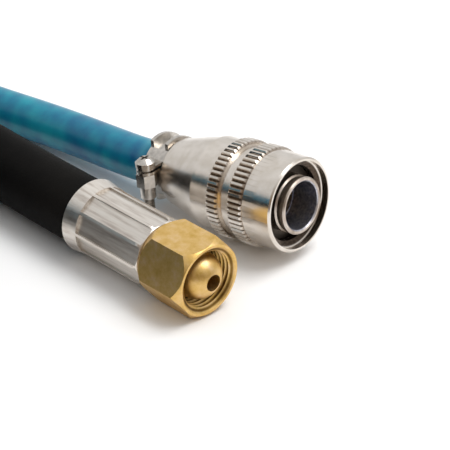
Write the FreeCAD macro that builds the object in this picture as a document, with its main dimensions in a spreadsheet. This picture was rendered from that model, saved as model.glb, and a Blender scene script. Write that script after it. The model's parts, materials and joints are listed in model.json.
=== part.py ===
"""Two air hoses kept as one set: a blue braided line with a quick coupler, and a black rubber line
with a brass swivel nut. Each is about three metres long and wound up, one coil strapped on the other.

Millimetres, +Z up, the surface that they lie on at z = 0, and +X the way out of the brass nut's mouth.
Each fitting is drawn on its own axis, with x counted back from its mouth towards the hose, +Y towards
the side that carries the clamp's screw and +Z up, and is then laid in its place.
"""
import FreeCAD, Part

import math
import os
import re

import Sketcher

SIZES = (
    # where the two ends lie
    ("coupler_mouth_x", 22.3), ("coupler_mouth_y", 17.2), ("coupler_turn", 5.9), ("coupler_tilt", 6.0),
    ("nut_mouth_x", 27.4), ("nut_mouth_y", -18.6), ("nut_turn", 7.0),
    # gaps between pieces that are fixed together, and between pieces that slide or turn
    ("seat_gap", 0.05), ("slide_gap", 0.05), ("spring_gap", 0.1),
    # quick coupler: the sleeve that is pulled back
    ("tube_proud", 0.8), ("rim_r", 12.5), ("rim_bore_r", 11.6), ("lip", 0.4), ("mouth_depth", 1.9),
    ("mouth_slope", 0.8), ("skirt_bore_r", 10.0), ("sleeve_front_r", 12.7), ("knurl_front", 9.6),
    ("knurl_length", 4.7), ("knurl_r", 13.35), ("knurl_edge", 0.5), ("knurl_teeth", 56),
    ("knurl_depth", 0.75), ("knurl_over", 0.2), ("knurl_half", 0.62), ("land_r", 8.8), ("land_front", 6.5),
    ("land_back", 11.5), ("land_wall", 1.65), ("web_back", 8.3),
    ("ball_rise", 0.27),
    # quick coupler: the socket tube, its locking balls and its rings
    ("socket_r", 6.4), ("tube_r", 7.6), ("tube_edge", 0.35), ("tube_collar_r", 8.6),
    ("tube_lip", 1.3), ("tube_waist", 1.2), ("waist_depth", 0.4),
    ("ball_place", 9.9), ("ball_r", 1.6), ("ball_orbit", 7.1), ("ball_count", 4), ("ball_lip_r", 1.52),
    ("ball_lip_top", 6.55), ("guide_back", 8.2), ("guide_step", 0.2), ("ring_front", 5.4),
    ("ring_thick", 1.0), ("ring_r", 9.9), ("ring_groove", 0.5),
    ("seal_place", 14.1), ("seal_orbit", 6.75), ("seal_r", 0.8), ("seal_groove_r", 7.6),
    ("seat_front", 17.0), ("seat_back", 19.0), ("seat_r", 5.0), ("chamber_r", 7.6),
    ("flange_front", 20.9), ("flange_back", 21.9), ("flange_r", 10.9), ("screw_in_r", 9.3),
    ("tube_back", 28.0),
    # quick coupler: the valve
    ("seal_ring_thick", 1.0), ("poppet_r", 6.2), ("poppet_nose_r", 4.5), ("poppet_front", 15.2),
    ("poppet_wall", 1.0), ("poppet_disc", 1.5), ("port_front", 16.4), ("port_width", 2.4),
    ("port_length", 2.4),
    ("stem_r", 1.6), ("stem_back", 32.0), ("guide_thick", 1.0), ("guide_boss_r", 2.7),
    ("guide_boss", 1.6), ("guide_window_r", 1.5), ("guide_orbit", 6.0), ("guide_windows", 4),
    ("gasket_thick", 0.9), ("gasket_bore_r", 7.9),
    # quick coupler: springs
    ("sleeve_wire", 1.2), ("sleeve_spring_r", 9.75), ("sleeve_coils", 4),
    ("valve_wire", 0.7), ("valve_spring_r", 3.6), ("valve_coils", 4),
    # quick coupler: the body and its hose barb
    ("neck_r", 12.0), ("neck_bore_r", 11.0), ("neck_front", 12.0), ("grip_front", 17.7), ("grip_back", 21.5),
    ("body_r", 12.4), ("cone_front", 27.3), ("cone_back_r", 8.9), ("cone_back", 41.8), ("cone_edge", 1.0),
    ("cavity_r", 7.7), ("cavity_back", 36.5), ("throat_back", 40.0), ("barb_root_r", 5.0), ("barb_r", 5.5),
    ("barb_gap", 1.0), ("barb_step", 2.4), ("barb_count", 3), ("barb_bore_r", 2.8),
    # blue braided hose
    ("blue_r", 6.0), ("blue_bore_r", 4.0), ("blue_swell_r", 6.9), ("swell_length", 8.0), ("swell_taper", 2.2),
    ("blue_turn_r", 86.5), ("blue_loops", 3), ("blue_start", 225.0),
    # screw clamp on the blue hose
    ("band_gap", 0.4), ("band_width", 6.2), ("band_thick", 0.65), ("band_edge_r", 9.3), ("band_edge", 1.1),
    ("screw_out", 10.15), ("ear_place", 2.4), ("ear_r", 2.55), ("ear_thick", 0.75),
    ("ear_top", 4.8), ("ear_gap", 0.6),
    ("screw_r", 1.5), ("screw_length", 13.0), ("screw_pitch", 0.5), ("screw_thread", 0.4), ("screw_turns", 9),
    ("head_r", 2.7), ("head_height", 2.2), ("head_dome_r", 1.4), ("head_side", 1.1), ("cross_width", 0.7),
    ("cross_depth", 1.0), ("cross_span", 2.8), ("clamp_nut_flats", 5.0), ("clamp_nut_height", 3.6),
    ("skirt_r", 2.1), ("skirt_length", 3.4),
    # brass swivel nut
    ("nut_front", 1.5), ("nut_length", 15.6), ("nut_flats", 19.0), ("nut_face_r", 9.45),
    ("nut_chamfer", 2.8), ("sink_r", 8.8), ("sink_depth", 0.4), ("thread_r", 8.33), ("thread_root_r", 7.48),
    ("thread_pitch", 1.337), ("thread_turns", 6), ("nut_web", 3.2), ("web_bore_r", 6.2),
    # brass nipple with a ball nose
    ("nose_r", 6.2), ("nose_bore_r", 2.2), ("collar_r", 7.2), ("collar_front", 9.3), ("collar_back", 13.8),
    ("shank_r", 6.15), ("lock_front", 19.6), ("lock_r", 7.3), ("lock_back", 22.0), ("tail_r", 4.5),
    ("tail_crest_r", 4.95), ("tail_step", 4.0), ("tail_rings", 4),
    # crimped ferrule
    ("ferrule_front", 17.8), ("ferrule_face_r", 8.2), ("ferrule_round", 1.4), ("ferrule_flat_r", 8.6),
    ("ferrule_ridge_r", 9.45), ("ferrule_ridge", 0.55), ("ferrule_lip", 1.7), ("ferrule_bore_r", 7.75),
    ("flare_length", 4.6), ("ferrule_back", 45.5), ("ferrule_back_r", 10.0), ("flare_wall", 0.9),
    ("crimp_jaws", 10),
    # black rubber hose
    ("black_r", 9.0), ("black_bore_r", 5.0), ("black_turn_r", 117.0), ("black_loops", 2),
    ("black_start", 180.0),
    # the two coils and their straps
    ("coil_x", -96.6), ("coil_y", -169.6), ("coil_gap", 0.6), ("strap_thick", 1.0), ("strap_width", 20.0),
    ("strap_gap", 0.09), ("black_run", 25.0), ("blue_run", 6.5), ("black_tail", 24.0), ("blue_tail", 28.0),
    # plug on the blue hose's far end
    ("plug_nose_r", 6.15), ("plug_tip_r", 5.1), ("plug_tip", 1.2), ("plug_groove_front", 4.2),
    ("plug_groove_back", 9.0), ("plug_groove_slope", 0.9), ("plug_groove_r", 5.2), ("plug_shoulder", 17.0),
    ("plug_hex_back", 25.0), ("plug_flats", 14.0), ("plug_chamfer", 0.8), ("plug_bore_r", 3.0),
)

ROUTE_ROUNDING = 0.45  # an arc takes this share of the shorter run beside it

# the routes' points between the fittings and the coils, chosen by hand: x, y, z
BLACK_ROUTE = (
    (-80.0, -17.2, 10.1), (-116.8, -20.4, 10.1), (-151.4, -30.8, 10.1), (-180.9, -51.4, 10.1),
    (-202.3, -80.4, 10.1), (-213.2, -116.6, 10.1),
)
BLUE_ROUTE = (
    (-66.0, 10.4, 7.0), (-95.6, 5.4, 6.0), (-126.6, 0.6, 6.0), (-157.8, -11.7, 6.0),
    (-186.9, -32.9, 8.5), (-208.6, -61.6, 17.0), (-219.4, -95.6, 30.0), (-220.7, -131.8, 42.3),
    (-211.4, -166.6, 44.6), (-191.8, -196.8, 44.3),
)

doc = FreeCAD.newDocument("air_hoses")
sheet = doc.addObject("Spreadsheet::Sheet", "Sizes")
for row, (alias, number) in enumerate(SIZES, 1):
    sheet.set(f"A{row}", alias)
    sheet.set(f"B{row}", str(number))
    sheet.setAlias(f"B{row}", alias)
doc.recompute()

Vector = FreeCAD.Vector
X, Y, Z = Vector(1, 0, 0), Vector(0, 1, 0), Vector(0, 0, 1)
nodes = []


def size(words):
    """The value of a sum of products of the sheet's names and plain numbers."""
    total = 0.0
    for term in words.replace("-", "+-").split("+"):
        term = term.strip()
        if not term:
            continue
        product = -1.0 if term.startswith("-") else 1.0
        for factor in term.lstrip("-").split("*"):
            factor = factor.strip()
            product *= float(factor) if factor[0].isdigit() else float(getattr(sheet, factor))
        total += product
    return total


def bind(thing, name, words):
    """Ties one size of an object to the sheet."""
    thing.setExpression(name, re.sub(r"[A-Za-z_]\w*", lambda found: "Sizes." + found.group(0), words))


def placed(base=Vector(), axis=Z, degrees=0.0):
    return FreeCAD.Placement(base, FreeCAD.Rotation(axis, degrees))


def laid(thing, pose):
    """Puts a finished piece in its place and counts it as a node."""
    thing.Placement = pose
    nodes.append(thing)
    return thing


def part(kind, name, pose=None, **sizes):
    """A Part primitive whose sizes are tied to the sheet."""
    thing = doc.addObject("Part::" + kind, name)
    for key, words in sizes.items():
        bind(thing, key, words)
    thing.Placement = pose or placed()
    return thing


def fuse(name, *pieces):
    thing = doc.addObject("Part::MultiFuse", name)
    thing.Shapes = list(pieces)
    thing.Refine = True
    return thing


def common(name, *pieces):
    thing = doc.addObject("Part::MultiCommon", name)
    thing.Shapes = list(pieces)
    return thing


def cut(name, base, *tools):
    thing = doc.addObject("Part::Cut", name)
    thing.Base = base
    thing.Tool = tools[0] if len(tools) == 1 else fuse(name + "_tools", *tools)
    return thing


def rod(name, start, radius, length, axis=X, at=("0", "0")):
    """A cylinder that starts at a place on the x axis, or beside it, and runs along one axis."""
    turns = {"x": (Y, 90.0), "y": (X, -90.0), "z": (Z, 0.0)}
    pose = placed(Vector(size(start), size(at[0]), size(at[1])), *turns["xyz"[(X, Y, Z).index(axis)]])
    return part("Cylinder", name, pose, Radius=radius, Height=length)


def block(name, low, spans):
    """A box by its lowest corner and its three sides."""
    pose = placed(Vector(*[size(words) for words in low]))
    return part("Box", name, pose, Length=spans[0], Width=spans[1], Height=spans[2])


def sketch_on(body, role, name):
    plane = next(item for item in body.Origin.OriginFeatures if item.Role == role)
    sketch = body.newObject("Sketcher::SketchObject", name)
    sketch.AttachmentSupport = [(plane, "")]
    sketch.MapMode = "FlatFace"
    return sketch


def outline(sketch, corners):
    """A closed outline of straight lines, each corner tied to the sheet. A height of "0" is on the axis."""
    points = [Vector(size(x), size(y), 0) for x, y in corners]
    count = len(points)
    for index in range(count):
        sketch.addGeometry(Part.LineSegment(points[index], points[(index + 1) % count]))
    for index in range(count):
        sketch.addConstraint(Sketcher.Constraint("Coincident", index, 2, (index + 1) % count, 1))
    for index, ((x, y), point) in enumerate(zip(corners, points)):
        for kind, words, value in (("DistanceX", x, point.x), ("DistanceY", y, point.y)):
            if words == "0":
                line = -1 if kind == "DistanceY" else -2
                sketch.addConstraint(Sketcher.Constraint("PointOnObject", index, 1, line))
                continue
            place = sketch.addConstraint(Sketcher.Constraint(kind, -1, 1, index, 1, value))
            bind(sketch, f"Constraints[{place}]", words)


def turned(name, corners):
    """A body turned about its x axis. The corners are pairs of station and radius."""
    body = doc.addObject("PartDesign::Body", name)
    sketch = sketch_on(body, "XY_Plane", name + "_outline")
    outline(sketch, corners)
    turn = body.newObject("PartDesign::Revolution", name + "_turn")
    turn.Profile = sketch
    turn.ReferenceAxis = (sketch, ["H_Axis"])
    turn.Angle = 360.0
    return body


def grooved(body, corners, count, length=None):
    """Cuts grooves along a turned body's x axis, all round it."""
    sketch = sketch_on(body, "YZ_Plane", body.Name + "_groove_outline")
    outline(sketch, corners)
    pocket = body.newObject("PartDesign::Pocket", body.Name + "_groove")
    pocket.Profile = sketch
    if length:
        pocket.Type = 0
        pocket.Reversed = True
        bind(pocket, "Length", length)
    else:
        pocket.Type = 1
        pocket.Midplane = True
    before = body.Tip
    pattern = body.newObject("PartDesign::PolarPattern", body.Name + "_grooves")
    axis = next(item for item in body.Origin.OriginFeatures if item.Role == "X_Axis")
    pattern.Originals = [pocket]
    pattern.Axis = (axis, [""])
    pattern.Angle = 360.0
    bind(pattern, "Occurrences", count)
    body.Tip = pattern
    doc.recompute()
    if pattern.Shape.Volume > before.BaseFeature.Shape.Volume - 1.0:
        raise RuntimeError(f"{body.Name}: the grooves cut nothing")
    return body


KNURL = (
    ("0", "knurl_r-knurl_depth"), ("knurl_half", "knurl_r+knurl_over"), ("0-knurl_half", "knurl_r+knurl_over"),
)


def spring(name, front, back, wire, radius, coils, pose):
    """A compression spring between two seats on the x axis."""
    gap = size("spring_gap")
    thick, reach = size(wire), size(back) - size(front) - 2 * gap - size(wire)
    line = Part.Wire(Part.makeHelix(reach / size(coils), reach, size(radius)).Edges)
    ring = Part.Wire([Part.makeCircle(thick / 2, Vector(size(radius), 0, 0), Y)])
    thing = doc.addObject("Part::Feature", name)
    thing.Shape = line.makePipeShell([ring], True, True)
    laid(thing, pose.multiply(placed(Vector(size(front) + gap + thick / 2, 0, 0), Y, 90.0)))


# Quick coupler

mouth_height = (
    size("knurl_r") * math.cos(math.radians(size("coupler_tilt")))
    + size("grip_back") * math.sin(math.radians(size("coupler_tilt")))
)
coupler_pose = FreeCAD.Placement(
    Vector(size("coupler_mouth_x"), size("coupler_mouth_y"), mouth_height),
    FreeCAD.Rotation(180.0 + size("coupler_turn"), size("coupler_tilt"), 0.0),
)


def coupler_sleeve():
    body = turned("coupler_sleeve", (
        ("tube_proud", "rim_bore_r"), ("tube_proud", "rim_r-lip"), ("tube_proud+lip", "rim_r"),
        ("knurl_front", "sleeve_front_r"), ("knurl_front", "knurl_r-knurl_edge"),
        ("knurl_front+knurl_edge", "knurl_r"), ("knurl_front+knurl_length-knurl_edge", "knurl_r"),
        ("knurl_front+knurl_length", "knurl_r-knurl_edge"), ("knurl_front+knurl_length", "neck_r+slide_gap"),
        ("web_back", "neck_r+slide_gap"), ("web_back", "land_r+land_wall"), ("land_back", "land_r+land_wall"),
        ("land_back", "land_r"), ("ball_place", "land_r"),
        ("land_front", "land_r+ball_rise*ball_place-ball_rise*land_front"), ("land_front", "skirt_bore_r"),
        ("tube_proud+mouth_depth+mouth_slope", "skirt_bore_r"), ("tube_proud+mouth_depth", "rim_bore_r"),
    ))
    doc.recompute()
    laid(grooved(body, KNURL, "knurl_teeth"), coupler_pose)


def socket_tube():
    seal_bore = "socket_r-guide_step"
    body = turned("socket_tube_turned", (
        ("0", "socket_r+tube_edge"), ("0", "tube_r-tube_edge"), ("tube_edge", "tube_r"),
        ("tube_lip", "tube_r"), ("tube_lip+waist_depth", "tube_r-waist_depth"),
        ("tube_lip+tube_waist", "tube_r-waist_depth"), ("tube_lip+tube_waist+waist_depth", "tube_r"),
        ("ring_front-seat_gap", "tube_r"), ("ring_front-seat_gap", "tube_r-ring_groove"),
        ("ring_front+ring_thick+seat_gap", "tube_r-ring_groove"),
        ("ring_front+ring_thick+seat_gap", "tube_collar_r"), ("flange_front", "tube_collar_r"),
        ("flange_front", "flange_r"), ("flange_back", "flange_r"), ("flange_back", "screw_in_r"),
        ("tube_back", "screw_in_r"), ("tube_back", "chamber_r"), ("seat_back", "chamber_r"),
        ("seat_back", "seat_r"), ("seat_front", "seat_r"), ("seat_front", seal_bore),
        ("seal_place+seal_r+seat_gap", seal_bore), ("seal_place+seal_r+seat_gap", "seal_groove_r"),
        ("seal_place-seal_r-seat_gap", "seal_groove_r"), ("seal_place-seal_r-seat_gap", seal_bore),
        ("guide_back", seal_bore), ("guide_back", "socket_r"), ("tube_edge", "socket_r"),
    ))
    tools = []
    for index in range(int(size("ball_count"))):
        turn = placed(axis=X, degrees=360.0 * index / size("ball_count"))
        lip = rod(f"ball_lip_{index + 1}", "ball_place", "ball_lip_r", "tube_collar_r", Z)
        pocket = rod(f"ball_pocket_{index + 1}", "ball_place", "ball_r+slide_gap", "tube_collar_r", Z,
                     ("0", "ball_lip_top"))
        for tool in (lip, pocket):
            tool.Placement = turn.multiply(tool.Placement)
            tools.append(tool)
    laid(cut("socket_tube", body, *tools), coupler_pose)


def locking_balls():
    for index in range(int(size("ball_count"))):
        place = placed(axis=X, degrees=360.0 * index / size("ball_count")).multiply(
            placed(Vector(size("ball_place"), 0, size("ball_orbit"))))
        laid(part("Sphere", f"locking_ball_{index + 1}", Radius="ball_r"), coupler_pose.multiply(place))


def coupler_rings():
    laid(turned("retaining_ring", (
        ("ring_front", "tube_r-ring_groove+seat_gap"), ("ring_front", "ring_r"),
        ("ring_front+ring_thick", "ring_r"), ("ring_front+ring_thick", "tube_r-ring_groove+seat_gap"),
    )), coupler_pose)
    seal = part("Torus", "plug_seal", Radius1="seal_orbit", Radius2="seal_r")
    laid(seal, coupler_pose.multiply(placed(Vector(size("seal_place"), 0, 0), Y, 90.0)))
    front = "tube_back+guide_thick+2*seat_gap"
    laid(turned("body_gasket", (
        (front, "gasket_bore_r"), (front, "screw_in_r"),
        (front + "+gasket_thick", "screw_in_r"), (front + "+gasket_thick", "gasket_bore_r"),
    )), coupler_pose)


def valve():
    seal_front = "seat_back+seat_gap"
    disc_front = seal_front + "+seal_ring_thick"
    disc_back = disc_front + "+poppet_disc"
    laid(turned("valve_seal", (
        (seal_front, "poppet_nose_r+seat_gap"), (seal_front, "poppet_r"),
        (disc_front + "-seat_gap", "poppet_r"), (disc_front + "-seat_gap", "poppet_nose_r+seat_gap"),
    )), coupler_pose)
    body = turned("valve_poppet_turned", (
        ("poppet_front", "poppet_nose_r-poppet_wall"), ("poppet_front", "poppet_nose_r"),
        (disc_front, "poppet_nose_r"), (disc_front, "poppet_r"), (disc_back, "poppet_r"),
        (disc_back, "stem_r"), ("stem_back", "stem_r"), ("stem_back", "0"),
        (disc_front, "0"), (disc_front, "poppet_nose_r-poppet_wall"),
    ))
    wide = "2*poppet_r"
    across = block("port_across", ("port_front", "0-poppet_r", "0-0.5*port_width"),
                   ("port_length", wide, "port_width"))
    upright = block("port_upright", ("port_front", "0-0.5*port_width", "0-poppet_r"),
                    ("port_length", "port_width", wide))
    laid(cut("valve_poppet", body, across, upright), coupler_pose)
    front = "tube_back+seat_gap"
    guide = turned("valve_guide_turned", (
        (front, "stem_r+slide_gap"), (front, "screw_in_r"), (front + "+guide_thick", "screw_in_r"),
        (front + "+guide_thick", "guide_boss_r"), (front + "+guide_thick+guide_boss", "guide_boss_r"),
        (front + "+guide_thick+guide_boss", "stem_r+slide_gap"),
    ))
    windows = []
    for index in range(int(size("guide_windows"))):
        angle = 2 * math.pi * (index + 0.5) / size("guide_windows")
        window = rod(f"guide_window_{index + 1}", "tube_back-guide_thick", "guide_window_r",
                     "3*guide_thick+seat_gap")
        orbit = size("guide_orbit")
        window.Placement.Base += Vector(0, orbit * math.cos(angle), orbit * math.sin(angle))
        windows.append(window)
    laid(cut("valve_guide", guide, *windows), coupler_pose)
    spring("valve_spring", disc_back, front, "valve_wire", "valve_spring_r", "valve_coils", coupler_pose)


def barb_steps(front):
    """The corners of a hose barb's teeth, from the front one back."""
    corners = []
    for index in range(int(size("barb_count"))):
        station = f"{front}+barb_gap+{index}*barb_step"
        corners += [(station, "barb_root_r"), (station, "barb_r")]
    return corners + [(f"{front}+barb_gap+barb_count*barb_step", "barb_root_r")]


def coupler_body():
    shoulder = "tube_back+guide_thick+gasket_thick+3*seat_gap"
    end = "cone_back+barb_gap+barb_count*barb_step"
    body = turned("coupler_body", (
        ("neck_front", "neck_bore_r"), ("neck_front", "neck_r"), ("grip_front", "neck_r"),
        ("grip_front", "knurl_r-knurl_edge"), ("grip_front+knurl_edge", "knurl_r"),
        ("grip_back-knurl_edge", "knurl_r"), ("grip_back", "knurl_r-knurl_edge"), ("grip_back", "body_r"),
        ("cone_front", "body_r"), ("cone_back-cone_edge", "cone_back_r"),
        ("cone_back", "cone_back_r-cone_edge"), ("cone_back", "barb_root_r"),
        *barb_steps("cone_back"),
        (end, "barb_bore_r"), ("throat_back", "barb_bore_r"), ("cavity_back", "cavity_r"),
        (shoulder, "cavity_r"), (shoulder, "screw_in_r+seat_gap"),
        ("flange_back+seat_gap", "screw_in_r+seat_gap"),
        ("flange_back+seat_gap", "neck_bore_r"),
    ))
    doc.recompute()
    laid(grooved(body, KNURL, "knurl_teeth"), coupler_pose)


def hose_clamp(name, front, pose):
    """A band with two ears, and the screw and nut that draw them together."""
    bore = "blue_swell_r+seat_gap"
    wall = bore + "+band_thick"
    back = front + "+band_width"
    ring = turned(name + "_ring", ((front, bore), (front, wall), (back, wall), (back, bore)))
    edged = turned(name + "_edged", (
        (front, bore), (front, "band_edge_r"), (front + "+band_edge", "band_edge_r"),
        (front + "+band_edge", wall), (back + "-band_edge", wall), (back + "-band_edge", "band_edge_r"),
        (back, "band_edge_r"), (back, bore),
    ))
    clear = block(name + "_clear", (front + "-band_gap", "0.5*blue_swell_r", "0-band_edge_r"),
                  ("band_width+2*band_gap", "band_edge_r", "2*band_edge_r"))
    gap_low = "ear_top-ear_thick-ear_gap"
    mouth = block(name + "_gap", (front + "-band_gap", "0", gap_low),
                  ("band_width+2*band_gap", "2*band_edge_r", "ear_gap"))
    middle = front + "+ear_place"
    ears = []
    for side, low in (("upper", "ear_top-ear_thick"), ("lower", gap_low + "-ear_thick")):
        high = low + "+ear_thick"
        ears.append(part(
            "Wedge", f"{name}_{side}_ear", Xmin=front, Xmax=back,
            X2min=middle + "-ear_r", X2max=middle + "+ear_r", Ymin="0.5*blue_swell_r", Ymax="screw_out",
            Zmin=low, Zmax=high, Z2min=low, Z2max=high))
        ears.append(rod(f"{name}_{side}_lobe", middle, "ear_r", "ear_thick", Z, ("screw_out", low)))
    inside = rod(name + "_inside", front + "-band_gap", bore, "band_width+2*band_gap")
    hole = rod(name + "_hole", middle, "screw_r+seat_gap", "4*ear_top", Z, ("screw_out", "0-2*ear_top"))
    band = fuse(name + "_whole", ring, cut(name + "_edges", edged, clear))
    open_band = cut(name + "_open", band, mouth)
    laid(cut(name + "_band", fuse(name + "_eared", open_band, *ears), inside, hole), pose)

    place = Vector(size(middle), size("screw_out"), size("ear_top+head_height+seat_gap"))
    tip = "head_height+screw_length"
    threads = []
    for index in range(int(size("screw_turns")), 0, -1):
        threads += [
            (f"{tip}-{index}*screw_pitch", "screw_r"),
            (f"{tip}-{index - 0.5}*screw_pitch", "screw_r-screw_thread"),
        ]
    screw = turned(name + "_screw_turned", (
        ("0", "0"), ("0", "head_dome_r"), ("head_height-head_side", "head_r"), ("head_height", "head_r"),
        ("head_height", "screw_r"), *threads, (tip, "screw_r"), (tip, "0"),
    ))
    along = block(name + "_cross_along", ("0", "0-0.5*cross_span", "0-0.5*cross_width"),
                  ("cross_depth", "cross_span", "cross_width"))
    across = block(name + "_cross_across", ("0", "0-0.5*cross_width", "0-0.5*cross_span"),
                   ("cross_depth", "cross_width", "cross_span"))
    down = placed(place, Y, 90.0)
    laid(cut(name + "_screw", screw, along, across), pose.multiply(down))

    hexagon = part("Prism", name + "_nut_hexagon", Circumradius="clamp_nut_flats*0.57735",
                   Height="clamp_nut_height")
    hexagon.Polygon = 6
    skirt = rod(name + "_nut_skirt", "0", "skirt_r", "skirt_length+clamp_nut_height", Z,
                ("0", "0-skirt_length"))
    bore_tool = rod(name + "_nut_bore", "0", "screw_r+seat_gap", "2*clamp_nut_height+2*skirt_length", Z,
                    ("0", "0-2*skirt_length"))
    under = Vector(size(middle), size("screw_out"), size(gap_low + "-ear_thick-clamp_nut_height-seat_gap"))
    whole = fuse(name + "_nut_whole", hexagon, skirt)
    laid(cut(name + "_nut", whole, bore_tool), pose.multiply(placed(under)))


# Threaded fitting with its ferrule, made once for each end of the black hose

nut_lean = math.radians(30.0 - size("nut_turn"))
nut_height = size("nut_flats") / 2 / math.cos(math.radians(30.0)) * math.cos(nut_lean)
nut_pose = FreeCAD.Placement(
    Vector(size("nut_mouth_x"), size("nut_mouth_y"), nut_height), FreeCAD.Rotation(180.0, 0.0, 0.0))


def swivel_nut(name, pose):
    back = "nut_front+nut_length"
    thread = "nut_front+sink_depth"
    grooves = []
    for index in range(int(size("thread_turns"))):
        grooves += [
            (f"{thread}+{index}*thread_pitch", "thread_r"),
            (f"{thread}+{index + 0.5}*thread_pitch", "thread_root_r"),
        ]
    end = f"{thread}+thread_turns*thread_pitch"
    corner = "nut_flats*0.6"
    blank = turned(name + "_blank", (
        ("nut_front", "sink_r"), ("nut_front", "nut_face_r"), ("nut_front+nut_chamfer", corner),
        (back + "-nut_chamfer", corner), (back, "nut_face_r"), (back, "web_bore_r"),
        (back + "-nut_web", "web_bore_r"), (back + "-nut_web", "thread_r"), (end, "thread_r"),
        *grooves[::-1],
    ))
    hexagon = part("Prism", name + "_hexagon", placed(Vector(size("nut_front"), 0, 0), Y, 90.0),
                   Circumradius="nut_flats*0.57735", Height="nut_length")
    hexagon.Polygon = 6
    laid(common(name, blank, hexagon), pose.multiply(placed(axis=X, degrees=30.0 - size("nut_turn"))))


def nipple(name, pose):
    """Bored through, with a ball nose, a collar for the nut, a lock collar and a ringed tail."""
    nose_middle = math.sqrt(size("nose_r") ** 2 - size("nose_bore_r") ** 2)
    tail = []
    for index in range(int(size("tail_rings"))):
        station = f"lock_back+{index + 1}*tail_step"
        tail += [(f"{station}-0.5*tail_step", "tail_r"), (station, "tail_crest_r"), (station, "tail_r")]
    body = turned(name, (
        ("nose_r", "nose_bore_r"), ("nose_r", "nose_r"), ("collar_front", "nose_r"),
        ("collar_front", "collar_r"),
        ("collar_back", "collar_r"), ("collar_back", "shank_r"), ("lock_front", "shank_r"),
        ("lock_front", "lock_r"), ("lock_back", "lock_r"), ("lock_back", "tail_r"), *tail,
        ("lock_back+tail_rings*tail_step+1", "tail_r"), ("lock_back+tail_rings*tail_step+1", "nose_bore_r"),
    ))
    ball = body.newObject("PartDesign::AdditiveSphere", name + "_nose")
    bind(ball, "Radius", "nose_r")
    ball.Placement = placed(Vector(nose_middle, 0, 0))
    bore = body.newObject("PartDesign::SubtractiveCylinder", name + "_bore")
    bind(bore, "Radius", "nose_bore_r")
    bind(bore, "Height", "lock_back+nose_r")
    bore.Placement = placed(Vector(-size("nose_r"), 0, 0), Y, 90.0)
    body.Tip = bore
    laid(body, pose)


def ferrule(name, pose):
    crimp_back = "ferrule_back-flare_length"
    body = turned(name, (
        ("ferrule_front", "shank_r+seat_gap"), ("ferrule_front", "ferrule_face_r-0.5*ferrule_round"),
        ("ferrule_front+0.4*ferrule_round", "ferrule_face_r+0.3*ferrule_round"),
        ("ferrule_front+ferrule_round", "ferrule_ridge_r-0.1*ferrule_round"),
        ("ferrule_front+1.5*ferrule_round", "ferrule_ridge_r"), (crimp_back, "ferrule_ridge_r"),
        ("ferrule_back", "ferrule_back_r"), ("ferrule_back", "ferrule_back_r-flare_wall"),
        (crimp_back, "ferrule_bore_r"), ("ferrule_front+ferrule_lip", "ferrule_bore_r"),
        ("ferrule_front+ferrule_lip", "shank_r+seat_gap"),
    ))
    doc.recompute()
    slope = math.tan(math.pi / size("crimp_jaws"))
    half = f"{slope:.4f}*ferrule_flat_r-0.5*ferrule_ridge"
    jaw = (
        ("0-" + half.replace("-", "+"), "ferrule_flat_r"), (half, "ferrule_flat_r"),
        (half, "ferrule_back_r+knurl_over"), ("0-" + half.replace("-", "+"), "ferrule_back_r+knurl_over"),
    )
    laid(grooved(body, jaw, "crimp_jaws", crimp_back), pose)


def black_hose_end(name, back):
    """The stretch of black hose that is crimped in a ferrule, and the straight stretch behind it."""
    crimp_back = "ferrule_back-flare_length"
    outer = "ferrule_bore_r-seat_gap"
    front = "lock_back+seat_gap"
    return turned(name, (
        (front, "black_bore_r"), (front, outer), (crimp_back, outer),
        ("ferrule_back", "black_r"), (back, "black_r"), (back, "black_bore_r"),
    ))


def blue_hose_end(name, front, back):
    """The stretch of blue hose that is swollen by a barb, and the straight stretch behind it."""
    end = front + "+swell_length"
    bore = "barb_r+seat_gap"
    return turned(name, (
        (front, bore), (front, "blue_swell_r"), (end, "blue_swell_r"), (end + "+swell_taper", "blue_r"),
        (back, "blue_r"), (back, "blue_bore_r"), (end + "+swell_taper", "blue_bore_r"), (end, bore),
    ))


# Hoses

def straight(start, heading, length):
    return Part.LineSegment(start, start + heading * length)


def half_turn(centre, radius, angle, climb=0.0):
    """Half a turn to the left about a centre, as one arc, or as two equal ones where it climbs."""
    out = Vector(math.cos(angle), math.sin(angle), 0)
    ahead = Vector(-math.sin(angle), math.cos(angle), 0)
    start, end = centre + out * radius, centre - out * radius + Z * climb
    if not climb:
        return [Part.Arc(start, centre + ahead * radius, end)]
    chord = end - start
    reach = chord.Length / 2
    corners = (start + ahead * reach, end + ahead * reach)
    middle = (corners[0] + corners[1]) / 2
    arcs = []
    for first, corner, last in ((start, corners[0], middle), (middle, corners[1], end)):
        weight = math.cos((corner - first).getAngle(last - corner) / 2)
        arcs.append(Part.Arc(first, (first + corner * 2 * weight + last) / (2 + 2 * weight), last))
    return arcs


def coil_path(hose_r, radius, start_degrees, loops, height, turns_out):
    """Half turns in to the middle on one layer, up, and half turns out again on the layer above."""
    pitch = 2 * hose_r + size("coil_gap")
    angle = math.radians(start_degrees)
    centre = Vector(size("coil_x"), size("coil_y"), height)
    first = centre + Vector(math.cos(angle), math.sin(angle), 0) * radius
    heading = Vector(-math.sin(angle), math.cos(angle), 0)
    path = [straight(first - heading * 2 * hose_r, heading, 2 * hose_r)]
    steps = [(-1, 0.0)] * (2 * loops) + [(1, pitch)] + [(1, 0.0)] * turns_out
    for step, climb in steps:
        path += half_turn(centre, radius, angle, climb)
        angle += math.pi
        out = Vector(math.cos(angle), math.sin(angle), 0)
        centre = centre + Z * climb - out * step * pitch / 2
        radius += step * pitch / 2
    heading = Vector(-math.sin(angle), math.cos(angle), 0)
    return path + [straight(path[-1].EndPoint, heading, 2 * hose_r)]


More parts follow.
